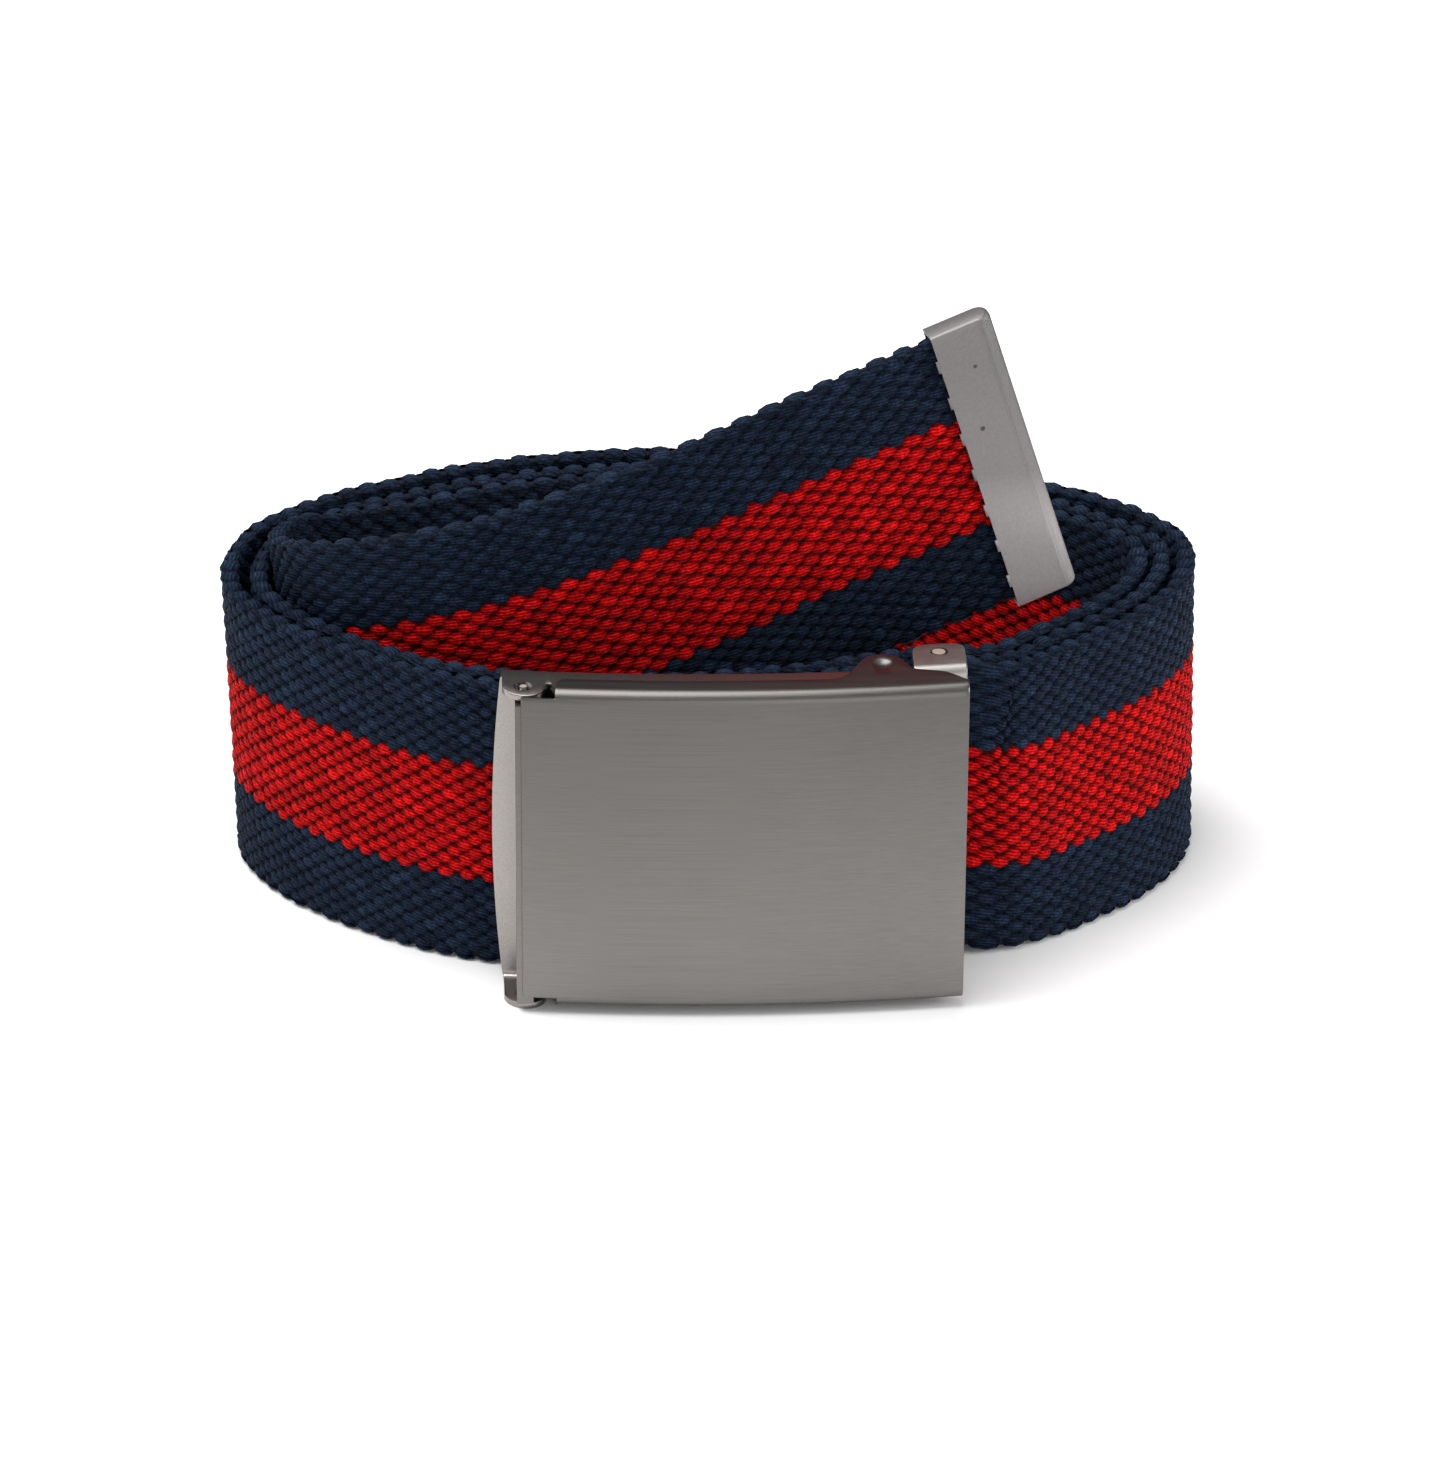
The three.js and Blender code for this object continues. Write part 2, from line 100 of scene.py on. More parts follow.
def addNode(tree, kind, **inputs):
    node = tree.nodes.new(kind)
    for key, value in inputs.items():
        if key in node.inputs:
            node.inputs[key].default_value = value
        else:
            setattr(node, key, value)
    return node


def ramp(tree, source, stops):
    node = tree.nodes.new("ShaderNodeValToRGB")
    elements = node.color_ramp.elements
    while len(elements) < len(stops):
        elements.new(0.5)
    for element, (place, colour) in zip(elements, stops):
        element.position = place
        element.color = (*colour, 1) if len(colour) == 3 else colour
    tree.links.new(source, node.inputs["Fac"])
    return node.outputs["Color"]


def grey(value):
    return (value, value, value)


def bumpOf(tree, source, strength, distance, under=None):
    node = addNode(tree, "ShaderNodeBump", Strength=strength, Distance=distance)
    tree.links.new(source, node.inputs["Height"])
    if under is not None:
        tree.links.new(under, node.inputs["Normal"])
    return node.outputs["Normal"]


def mixed(tree, kind, fac, a, b):
    node = tree.nodes.new("ShaderNodeMix")
    node.data_type = "RGBA"
    node.blend_type = kind
    for socket, value in ((node.inputs[0], fac), (node.inputs[6], a), (node.inputs[7], b)):
        if isinstance(value, bpy.types.NodeSocket):
            tree.links.new(value, socket)
        else:
            socket.default_value = value
    return node.outputs[2]


yarnTexture = {
    "twist": 105, "strandScale": 1.5, "distortion": 3.5, "detail": 2.0, "detailScale": 2.0,
    "apart": (7, 7, 7),  # the tone moves the strands by this much, so that no two floats show the same ones
    "fuzzScale": 2600.0, "fuzzDetail": 3.0, "sheenRoughness": 0.3,
    "strandRelief": (0.8, 0.00009), "fuzzRelief": (0.5, 0.00007),  # strength, and depth in metres
}


def yarnMaterial(name, look):
    material, tree, shader = nodeTree(name)
    link = tree.links.new
    place = addNode(tree, "ShaderNodeUVMap", uv_map="yarn")
    tone = addNode(tree, "ShaderNodeAttribute", attribute_name="tone", attribute_type="GEOMETRY")
    objectPlace = addNode(tree, "ShaderNodeTexCoord")
    fibre = addNode(tree, "ShaderNodeMapping", Rotation=(0, 0, math.radians(yarnTexture["twist"])))
    link(place.outputs["UV"], fibre.inputs["Vector"])
    ownPart = addNode(tree, "ShaderNodeVectorMath", operation="MULTIPLY_ADD")
    ownPart.inputs[1].default_value = yarnTexture["apart"]
    link(tone.outputs["Vector"], ownPart.inputs[0])
    link(fibre.outputs["Vector"], ownPart.inputs[2])
    strands = addNode(tree, "ShaderNodeTexWave", Scale=yarnTexture["strandScale"],
                      Distortion=yarnTexture["distortion"], Detail=yarnTexture["detail"])
    strands.inputs["Detail Scale"].default_value = yarnTexture["detailScale"]
    link(ownPart.outputs["Vector"], strands.inputs["Vector"])
    fuzz = addNode(tree, "ShaderNodeTexNoise", Scale=yarnTexture["fuzzScale"], Detail=yarnTexture["fuzzDetail"])
    link(objectPlace.outputs["Object"], fuzz.inputs["Vector"])
    body = ramp(tree, tone.outputs["Fac"], [(0.0, look["deep"]), (0.55, look["colour"]), (1.0, look["pale"])])
    # painted light and shade: the strands are made lighter on their tops and darker between them
    strandLightAndShade = ramp(tree, strands.outputs["Fac"], [(0.15, grey(0.56)), (0.8, grey(1.12))])
    # painted highlight: a pale glint colour goes on where the strands are brightest
    paintedGlint = ramp(tree, strands.outputs["Fac"], [(0.6, grey(0.0)), (1.0, grey(1.0))])
    speck = ramp(tree, fuzz.outputs["Fac"], [(0.35, grey(0.55)), (0.52, grey(1.0)), (0.72, grey(1.9))])
    # the yarn's own tone and fuzz, together with the strands' painted light and shade and the painted glint
    yarnAndPaintedLight = mixed(tree, "MULTIPLY", 1.0, mixed(tree, "MULTIPLY", 1.0, body, strandLightAndShade), speck)
    # painted shade: each float is darkened towards its rim, where the valleys between the floats lie
    off = addNode(tree, "ShaderNodeVectorMath", operation="DISTANCE")
    off.inputs[1].default_value = (0.5, 0.5, 0)
    link(place.outputs["UV"], off.inputs[0])
    paintedValleyShade = ramp(tree, off.outputs["Value"], [(0.2, grey(1.0)), (0.47, grey(look["paintedValleyShade"]))])
    yarnAndPaintedLight = mixed(tree, "ADD", paintedGlint, yarnAndPaintedLight, (*look["paintedGlint"], 1))
    link(mixed(tree, "MULTIPLY", 1.0, yarnAndPaintedLight, paintedValleyShade), shader.inputs["Base Color"])
    shader.inputs["Roughness"].default_value = look["roughness"]
    shader.inputs["Specular IOR Level"].default_value = look["specular"]
    shader.inputs["Sheen Weight"].default_value = look["sheen"]
    shader.inputs["Sheen Roughness"].default_value = yarnTexture["sheenRoughness"]
    shader.inputs["Sheen Tint"].default_value = (*look["sheenTint"], 1)
    first = bumpOf(tree, strands.outputs["Fac"], *yarnTexture["strandRelief"])
    link(bumpOf(tree, fuzz.outputs["Fac"], *yarnTexture["fuzzRelief"], first), shader.inputs["Normal"])
    return material


metalRelief = 0.00004  # metres


def metalMaterial(name, look):
    material, tree, shader = nodeTree(name)
    link = tree.links.new
    place = addNode(tree, "ShaderNodeTexCoord")
    lay = addNode(tree, "ShaderNodeMapping", Scale=look["grain"], Rotation=(0, 0, -look.get("turn", 0)))
    link(place.outputs["Object"], lay.inputs["Vector"])
    grain = addNode(tree, "ShaderNodeTexNoise", Scale=1.0, Detail=4.0, Roughness=0.65)
    link(lay.outputs["Vector"], grain.inputs["Vector"])
    cloud = addNode(tree, "ShaderNodeTexNoise", Scale=look["cloudScale"], Detail=2.0)
    link(place.outputs["Object"], cloud.inputs["Vector"])
    specks = addNode(tree, "ShaderNodeTexVoronoi", Scale=look["speckScale"])
    link(place.outputs["Object"], specks.inputs["Vector"])
    low, high = look["shade"]
    tint = ramp(tree, grain.outputs["Fac"], [
        (0.3, tuple(c * low for c in look["colour"])), (0.7, tuple(c * high for c in look["colour"]))])
    haze = ramp(tree, cloud.outputs["Fac"], [(0.3, grey(0.94)), (0.7, grey(1.0))])
    hazeAndPaintedShade = mixed(tree, "MULTIPLY", 1.0, tint, haze)
    # painted light and shade: the colour is made brighter or darker by height, as each metal's table gives
    heights, levels = look.get("paintedShadeByHeight", ((0, 1), (1, 1)))
    parts = addNode(tree, "ShaderNodeSeparateXYZ")
    link(place.outputs["Object"], parts.inputs["Vector"])
    rise = addNode(tree, "ShaderNodeMapRange")
    rise.inputs["From Min"].default_value, rise.inputs["From Max"].default_value = heights
    link(parts.outputs["Z"], rise.inputs["Value"])
    paintedShadeByHeight = [(at, grey(level)) for at, level in zip(np.linspace(0, 1, len(levels)), levels)]
    hazeAndPaintedShade = mixed(tree, "MULTIPLY", 1.0, hazeAndPaintedShade, ramp(tree, rise.outputs["Result"], paintedShadeByHeight))
    dark = ramp(tree, specks.outputs["Distance"], [
        (look["speckSize"], grey(0.25)), (look["speckSize"] * 1.6, grey(1.0))])
    link(mixed(tree, "MULTIPLY", 1.0, hazeAndPaintedShade, dark), shader.inputs["Base Color"])
    shader.inputs["Metallic"].default_value = look.get("metallic", 1.0)
    rough = addNode(tree, "ShaderNodeMapRange")
    rough.inputs["To Min"].default_value, rough.inputs["To Max"].default_value = look["roughness"]
    link(grain.outputs["Fac"], rough.inputs["Value"])
    link(rough.outputs["Result"], shader.inputs["Roughness"])
    link(bumpOf(tree, grain.outputs["Fac"], look["bump"], metalRelief), shader.inputs["Normal"])
    return material


# camera, floor and light

view = {
    "target": (1.13418, 35.536, 0.2868),  # mm
    "distance": 1000.0,
    "elevation": 26.5,
    "roll": 0.4,
    "focalPixels": 7730.0,
    "frameHeight": 1465.0,
    "sensor": 36,
    "clip": (0.05, 20),  # metres
}


def makeCamera():
    data = bpy.data.cameras.new("camera")
    data.sensor_width = view["sensor"]
    data.lens = view["focalPixels"] * data.sensor_width / view["frameHeight"]
    data.clip_start, data.clip_end = view["clip"]
    camera = bpy.data.objects.new("camera", data)
    bpy.context.scene.collection.objects.link(camera)
    pitch = math.radians(view["elevation"])
    back = Vector((0, -math.cos(pitch), math.sin(pitch)))
    spin = Matrix.Rotation(math.pi / 2 - pitch, 4, "X") @ Matrix.Rotation(math.radians(view["roll"]), 4, "Z")
    camera.matrix_world = Matrix.Translation((Vector(view["target"]) + back * view["distance"]) * mm) @ spin
    bpy.context.scene.camera = camera


paper = {"half": 3, "patches": 30.0, "shades": (0.8, 0.815), "roughness": 0.75, "specular": 0.1}


def makeFloor():
    bm = bmesh.new()
    bmesh.ops.create_grid(bm, x_segments=2, y_segments=2, size=paper["half"])
    floor = bpy.data.objects.new("floor", meshOf(bm, "floor"))
    bpy.context.scene.collection.objects.link(floor)
    material, tree, shader = nodeTree("paper")
    place = addNode(tree, "ShaderNodeTexCoord")
    noise = addNode(tree, "ShaderNodeTexNoise", Scale=paper["patches"], Detail=2.0)
    tree.links.new(place.outputs["Object"], noise.inputs["Vector"])
    dull, clear = paper["shades"]
    shade = ramp(tree, noise.outputs["Fac"], [(0.3, grey(dull)), (0.7, grey(clear))])
    tree.links.new(shade, shader.inputs["Base Color"])
    shader.inputs["Roughness"].default_value = paper["roughness"]
    shader.inputs["Specular IOR Level"].default_value = paper["specular"]
    floor.data.materials.append(material)


lights = {
    # the room is bright in front and overhead and dim behind: the border is a plane that leans 45 degrees forwards
    "towards": (0, -0.707, 0.707), "dimTo": -0.12, "brightFrom": 0.12, "dim": 0.05, "bright": 0.65,
    "dimColour": (1.0, 0.72, 0.55), "brightColour": (0.98, 0.99, 1.0),
    "softboxes": [  # place and size in metres, power in watts
        {"name": "overhead", "place": (-0.32, 0.06, 0.92), "aim": (0, 0, 0.03), "size": 0.9, "power": 16.0},
        {"name": "front", "place": (0.3, -1.2, 0.3), "aim": (0, 0, 0.03), "size": 0.8, "power": 3.8},
        {"name": "right", "place": (0.8, -0.1, 0.3), "aim": (0, 0, 0.03), "size": 0.4, "power": 4.0},
    ],
}


def makeLights():
    world = bpy.data.worlds.new("studio")
    world.use_nodes = True
    tree = world.node_tree
    sky = tree.nodes["Background"]
    place = addNode(tree, "ShaderNodeTexCoord")
    height = addNode(tree, "ShaderNodeVectorMath", operation="DOT_PRODUCT")
    height.inputs[1].default_value = lights["towards"]
    tree.links.new(place.outputs["Generated"], height.inputs[0])
    rise = addNode(tree, "ShaderNodeMapRange", interpolation_type="SMOOTHSTEP")
    rise.inputs["From Min"].default_value = lights["dimTo"]
    rise.inputs["From Max"].default_value = lights["brightFrom"]
    tree.links.new(height.outputs["Value"], rise.inputs["Value"])
    seen = addNode(tree, "ShaderNodeLightPath").outputs["Is Camera Ray"]
    room = ramp(tree, rise.outputs["Result"], [(0, lights["dimColour"]), (1, lights["brightColour"])])
    tree.links.new(mixed(tree, "MIX", seen, room, (1, 1, 1, 1)), sky.inputs["Color"])
    strength = ramp(tree, rise.outputs["Result"], [(0, grey(lights["dim"] / lights["bright"])), (1, grey(1))])
    level = addNode(tree, "ShaderNodeMath", operation="MULTIPLY")
    level.inputs[1].default_value = lights["bright"]
    tree.links.new(mixed(tree, "MIX", seen, strength, (*grey(1 / lights["bright"]), 1)), level.inputs[0])
    tree.links.new(level.outputs["Value"], sky.inputs["Strength"])
    bpy.context.scene.world = world
    for row in lights["softboxes"]:
        data = bpy.data.lights.new(row["name"], "AREA")
        data.size = row["size"]
        data.energy = row["power"]
        lamp = bpy.data.objects.new(row["name"], data)
        bpy.context.scene.collection.objects.link(lamp)
        lamp.location = row["place"]
        lamp.rotation_euler = (Vector(row["aim"]) - Vector(row["place"])).to_track_quat("-Z", "Y").to_euler()
    bpy.context.scene.view_settings.view_transform = "Standard"


makeCamera()
makeFloor()
makeLights()
print("camera, floor and lights")


# strap: its path through the coil, in mm, as the solid strap of the frame runs

strap = {
    "width": 38.6,
    "thickness": 2.2,
    "pin": (23.7, 12.8), "pinRadius": 0.8, "pinGap": 0.45, "loopTail": 2.6, "loopLead": 3.5, "lift": 1.0,
    "loopPoints": 7, "coilStart": 1.75, "coilStep": 0.25, "leaving": 15, "tipOverlap": 7.0, "endLean": 2.0,
    "samples": 4001,
    # outer face of the coil: x, y, outward lean in degrees, lift, and how far inside it each turn runs
    "stations": [
        (4, -64.7, 0, 0, 1.1, 2.2, 5.2), (24, -60.2, 0, 1, 1.1, 3.9, 6.6), (36, -58.4, -1, 0.2, 1.1, 3.9, 6.6),
        (45.2, -51.1, -3, 0, 1.1, 3.9, 6.6), (52.7, -43.3, -3, 0, 1.1, 3.9, 6.7), (57.7, -34.4, -2, 0, 1.1, 4.1, 6.9),
        (59.2, -26, -1, 0, 1.1, 4.2, 7), (57.8, -18.6, 0, 0, 1.1, 4.5, 7.2), (53, -12, 0, 0, 1.1, 5.1, 7.8),
        (45, -6, 0, 0, 1.1, 5.4, 8), (33, -0.8, 0, 0, 1.1, 5.5, 8.1), (18, 3.3, 0, 0, 1.1, 5.5, 8.1),
        (0, 5.5, 0, 0, 1.1, 5.5, 8.1), (-16, 4.9, 0, 0, 1.1, 5.5, 8.1), (-30, 1.3, 0, 0, 1.1, 5.4, 8),
        (-42, -4.4, 0, 0, 1.1, 5.2, 8), (-52, -11.5, 1, 0, 1.1, 5, 8), (-58.8, -20, 2, 0, 1.1, 4.9, 8),
        (-61.2, -30, 2, 0, 1.1, 4.8, 7.8), (-59.6, -38.8, 2, 0, 1.1, 4.4, 7.8), (-53.8, -47.2, 1, 0, 1.1, 4, 8),
        (-44, -55.8, 1, 0, 1.1, 3.9, 8), (-32, -62.3, 1, 0, 1.1, 3.9, 8), (-16, -65, 1, 0, 1.1, 3.9, 8),
    ],
    # middle of the free end: x, y, z
    "freeEnd": [
        (-51.6, -20, 20.3), (-53.6, -28.4, 22.2), (-51.6, -37, 24.9), (-45.6, -44.6, 28.5), (-36.4, -48.6, 31.9),
        (-20.7, -49.1, 36.6), (-3, -46.4, 43), (13, -42.1, 49), (30.4, -37.2, 55),
    ],
}

buckle = {"place": (3.0, -74.6), "turn": math.radians(2.4), "bowRadius": 220.0, "coverWidth": 53.3}


def bowAt(x):
    return np.asarray(x) ** 2 / (2 * buckle["bowRadius"]) - buckle["coverWidth"] ** 2 / (8 * buckle["bowRadius"])


def curveAt(points, closed, share):  # centripetal Catmull-Rom through the points
    points = np.asarray(points, float)
    n = len(points)
    p = np.asarray(share, float) * (n if closed else n - 1)
    i = np.floor(p).astype(int)
    w = p - i
    if closed:
        p0, p1, p2, p3 = (points[(i + k) % n] for k in (-1, 0, 1, 2))
    else:
        last = i >= n - 1
        i, w = np.where(last, n - 2, i), np.where(last, 1.0, w)
        longer = np.vstack([2 * points[0] - points[1], points, 2 * points[-1] - points[-2]])
        p0, p1, p2, p3 = (longer[i + k] for k in (0, 1, 2, 3))
    d1 = np.linalg.norm(p2 - p1, axis=1) ** 0.5
    d0 = np.linalg.norm(p1 - p0, axis=1) ** 0.5
    d2 = np.linalg.norm(p3 - p2, axis=1) ** 0.5
    d1, d0, d2 = (d[:, None] for d in (d1, d0, d2))
    t1 = ((p1 - p0) / d0 - (p2 - p0) / (d0 + d1) + (p2 - p1) / d1) * d1
    t2 = ((p2 - p1) / d1 - (p3 - p1) / (d1 + d2) + (p3 - p2) / d2) * d1
    w = w[:, None]
    return p1 + t1 * w + (-3 * p1 + 3 * p2 - 2 * t1 - t2) * w**2 + (2 * p1 - 2 * p2 + t1 + t2) * w**3


def headingAt(points, closed, share, step=0.0001):
    share = np.asarray(share, float)
    ahead, behind = np.minimum(share + step, 1), np.maximum(share - step, 0)
    way = curveAt(points, closed, ahead) - curveAt(points, closed, behind)
    return way / np.linalg.norm(way, axis=1)[:, None]


def strapLine():  # round the clamp pin, three turns, then the rising free end
    cosTurn, sinTurn = math.cos(buckle["turn"]), math.sin(buckle["turn"])
    along, inward = np.array([cosTurn, sinTurn, 0]), np.array([-sinTurn, cosTurn, 0])
    pinX, pinDepth = strap["pin"]
    pin = np.array([*buckle["place"], 0]) + along * pinX + inward * (pinDepth + float(bowAt(pinX)))
    radius = strap["pinRadius"] + strap["pinGap"] + strap["thickness"] / 2
    height = strap["width"] / 2
    spots = [(strap["loopTail"], -radius)]
    for angle in np.linspace(-math.pi / 2, -3 * math.pi / 2, strap["loopPoints"]):
        spots.append((radius * math.cos(angle), radius * math.sin(angle)))
    spots.append((strap["loopLead"], radius))
    start = [pin + along * u + inward * v + [0, 0, height + strap["lift"]] for u, v in spots]
    rows = np.array(strap["stations"], float)
    turn = len(rows)
    coilEnd = 2 * turn + strap["leaving"]
    positions = np.arange(strap["coilStart"], coilEnd + strap["coilStep"] / 2, strap["coilStep"])
    share = (positions % turn) / turn
    outline = np.column_stack([rows[:, :2], np.zeros(turn)])
    base, heading = curveAt(outline, True, share), headingAt(outline, True, share)
    inset = smoothColumn(np.concatenate([rows[:, 4], rows[:, 5], rows[:, 6]]), positions)
    coil = base + np.column_stack([-heading[:, 1], heading[:, 0], np.zeros(len(share))]) * inset[:, None]
    coil[:, 2] = height + np.maximum(0, smoothColumn(np.concatenate([rows[:, 3], np.zeros(2 * turn)]), positions))
    coilLean = smoothColumn(np.tile(rows[:, 2], 3), positions)
    end = np.array(strap["freeEnd"], float)
    last = (end[-1] - end[-2]) / np.linalg.norm(end[-1] - end[-2])
    line = np.vstack([start, coil, end, end[-1] + last * strap["tipOverlap"]])
    lean = np.concatenate([np.zeros(len(start)), coilLean, np.full(len(end) + 1, strap["endLean"])])
    return line, lean


def strapFrames(step=0.5):
    line, lean = strapLine()
    share = np.linspace(0, 1, strap["samples"])
    walked = np.concatenate([[0], np.cumsum(np.linalg.norm(np.diff(curveAt(line, False, share), axis=0), axis=1))])
    count = int(round(walked[-1] / step))
    share = np.interp(np.linspace(0, walked[-1], count + 1), walked, share)
    along = headingAt(line, False, share)
    tilt = np.radians(smoothColumn(lean, share * (len(line) - 1)))[:, None]
    up = np.array([0, 0, 1.0]) - along * along[:, 2:3]
    up /= np.linalg.norm(up, axis=1)[:, None]
    across = up * np.cos(tilt) + np.cross(along, up) * np.sin(tilt)
    return {"length": walked[-1], "middle": curveAt(line, False, share) + shift, "along": along,
            "across": across, "normal": np.cross(along, across)}


strapPath = strapFrames()
print("strap path", round(strapPath["length"], 1), "mm")


def wrapStrap(points):  # from flat: along, up the width and out of the face, in mm
    s = np.clip(points[:, 0] / strapPath["length"], 0, 1) * (len(strapPath["middle"]) - 1)
    k = np.minimum(s.astype(int), len(strapPath["middle"]) - 2)
    f = (s - k)[:, None]

    def at(name):
        return strapPath[name][k] * (1 - f) + strapPath[name][k + 1] * f

    return (at("middle") + at("across") * points[:, 1:2] + at("normal") * points[:, 2:3]) * mm


# webbing: a flat core that is wrapped along the path, with the yarns' floats on both faces and both edges

weave = {
    "core": {"halfWidth": 18.7, "halfThickness": 0.6, "step": 1.4, "round": 0.35, "roughness": 0.9, "specular": 0.15,
             # the core's red is far darker than the floats' red and its navy a little darker: the weft's colour with
             # painted shade for the holes between the floats
             "red": (0.03, 0.002, 0.003, 1), "navy": (0.006, 0.009, 0.018, 1), "relief": (0.5, 0.0001)},
    "rows": 38, "navyRows": 11, "pitch": 0.98, "stagger": 0.475,
    # how far apart the floats of one row are along the strap: they are closest at its fixed end
    "period": [(0, 2.7), (28, 2.75), (60, 3.0), (180, 3.0), (220, 2.8), (300, 2.8), (340, 3.0), (690, 3.0),
               (730, 3.45), (900, 3.45)],
    "float": {"share": 0.87, "length": 1.0, "width": 1.85, "height": 0.62, "sunk": 0.14,
              "blunt": 0.3, "taper": 2.6, "crown": 0.6},
    "faceHeight": 0.62, "unevenness": 0.06, "tone": (0.5, 0.17), "margin": 1.6,
    # the valley level of these knobs and of both looks below is painted shade at each float's rim
    "knob": {"height": 18.74, "long": 1.06, "wide": 1.24, "tall": 1.08, "look": {"paintedValleyShade": 0.5}},
    # the glint colour in both looks is a painted highlight on the strands
    "navy": {"colour": (0.0078, 0.0145, 0.0305), "deep": (0.0045, 0.0085, 0.0185), "pale": (0.0125, 0.024, 0.049),
             "paintedGlint": (0.003, 0.005, 0.009), "paintedValleyShade": 0.4, "roughness": 0.75, "specular": 0.05,
             "sheen": 0.03, "sheenTint": (0.45, 0.7, 1.0)},
    "red": {"colour": (0.44, 0.0012, 0.0025), "deep": (0.28, 0.001, 0.002), "pale": (0.67, 0.004, 0.005),
            "paintedGlint": (0.08, 0.008, 0.007), "paintedValleyShade": 0.16, "roughness": 0.7, "specular": 0.03,
            "sheen": 0.08, "sheenTint": (1.0, 0.35, 0.3)},
}


def coreMaterial():
    core = weave["core"]
    material, tree, shader = nodeTree("weftYarnAndHoleShade")
    place = addNode(tree, "ShaderNodeUVMap", uv_map="yarn")
    ribs = addNode(tree, "ShaderNodeTexWave", Scale=1.0, Distortion=2.0, Detail=2.0)
    tree.links.new(place.outputs["UV"], ribs.inputs["Vector"])
    parts = addNode(tree, "ShaderNodeSeparateXYZ")
    tree.links.new(place.outputs["UV"], parts.inputs["Vector"])
    offMiddle = addNode(tree, "ShaderNodeMath", operation="ABSOLUTE")
    tree.links.new(parts.outputs["Y"], offMiddle.inputs[0])
    inNavy = addNode(tree, "ShaderNodeMath", operation="GREATER_THAN")
    inNavy.inputs[1].default_value = (weave["rows"] / 2 - weave["navyRows"]) * weave["pitch"]
    tree.links.new(offMiddle.outputs["Value"], inNavy.inputs[0])
    # painted shade: the core's dark colours make the holes between the floats look shaded
    weftAndHoleShade = mixed(tree, "MIX", inNavy.outputs["Value"], core["red"], core["navy"])
    ribbed = ramp(tree, ribs.outputs["Fac"], [(0.2, grey(0.5)), (0.9, grey(1.2))])
    tree.links.new(mixed(tree, "MULTIPLY", 1.0, weftAndHoleShade, ribbed), shader.inputs["Base Color"])
    tree.links.new(bumpOf(tree, ribs.outputs["Fac"], *core["relief"]), shader.inputs["Normal"])
    shader.inputs["Roughness"].default_value = core["roughness"]
    shader.inputs["Specular IOR Level"].default_value = core["specular"]
    return material


def makeCore():
    core = weave["core"]
    length = strapPath["length"]
    bm = bmesh.new()
    bmesh.ops.create_grid(bm, x_segments=round(length / core["step"]), y_segments=6, size=0.5)
    for v in bm.verts:
        v.co = ((v.co.x + 0.5) * length, v.co.y * 2 * core["halfWidth"], core["halfThickness"])
    sheet = bmesh.ops.extrude_face_region(bm, geom=bm.faces[:])
    for v in vertsOf(sheet):
        v.co.z = -core["halfThickness"]
    rim = [e for e in bm.edges if all(abs(abs(v.co.y) - core["halfWidth"]) < tiny for v in e.verts)
           and abs(e.verts[0].co.z - e.verts[1].co.z) < tiny]
    roundOff(bm, rim, core["round"])
    bmesh.ops.recalc_face_normals(bm, faces=bm.faces[:])
    flat = np.array([v.co for v in bm.verts])
    yarn = bm.loops.layers.uv.new("yarn")
    for face in bm.faces:
        face.smooth = True
        for loop in face.loops:
            loop[yarn].uv = (loop.vert.co.x, loop.vert.co.y)
    for v, place in zip(bm.verts, wrapStrap(flat)):
        v.co = place
    return meshOf(bm, "webbingCore")


def makeFloat():  # one low oval dome: along, across and up
    size = weave["float"]
    bm = bmesh.new()
    bmesh.ops.create_grid(bm, x_segments=4, y_segments=4, size=1.0)
    for v in bm.verts:
        a, b = v.co.x, v.co.y
        reach = math.sin(a * math.pi / 2)
        side = math.sin(b * math.pi / 2) * (1 - (1 - size["blunt"]) * abs(a) ** size["taper"])
        rise = max(0.0, 1 - reach**2) ** 0.5 * max(0.0, 1 - b**2) ** size["crown"]
        v.co = (reach * size["length"] / 2, side * size["width"] / 2, rise * size["height"] - size["sunk"])
    mesh = meshOf(bm, "oneFloat")
    corners = np.array([v.co for v in mesh.vertices])
    faces = np.array([p.vertices for p in mesh.polygons])
    return corners, faces


# spots are rows of: along, up the width, out of the face, turn about the strap, and stretch in three directions
def repeatFloats(name, spots, seed):
    corners, faces = makeFloat()
    size = weave["float"]
    spots = np.asarray(spots, float)
    random = np.random.default_rng(seed)
    count = len(spots)
    stretch = 1 + random.normal(0, weave["unevenness"], (count, 3))
    nudge = random.normal(0, weave["unevenness"], (count, 2))
    local = corners[None] * stretch[:, None]
    local *= spots[:, None, 4:7]
    turn = spots[:, 3][:, None]
    acrossY = local[:, :, 1] * np.cos(turn) + local[:, :, 2] * np.sin(turn)
    acrossZ = -local[:, :, 1] * np.sin(turn) + local[:, :, 2] * np.cos(turn)
    flat = np.stack([
        local[:, :, 0] + (spots[:, 0] + nudge[:, 0])[:, None],
        acrossY + (spots[:, 1] + nudge[:, 1])[:, None],
        acrossZ + spots[:, 2][:, None]], axis=2).reshape(-1, 3)
    mesh = bpy.data.meshes.new(name)
    everyFace = (faces[None] + np.arange(count)[:, None, None] * len(corners)).reshape(-1, 4)
    mesh.from_pydata(wrapStrap(flat), [], everyFace)
    shadeSmooth(mesh)
    flatPlace = corners[:, :2] / (size["length"], size["width"]) + 0.5
    yarn = mesh.uv_layers.new(name="yarn")
    yarn.data.foreach_set("uv", np.tile(flatPlace[faces.ravel()], (count, 1)).astype(np.float32).ravel())
    tone = mesh.attributes.new("tone", "FLOAT", "POINT")
    tones = np.repeat(np.clip(random.normal(*weave["tone"], count), 0, 1), len(corners))
    tone.data.foreach_set("value", tones.astype(np.float32))
    mesh.update()
    return mesh


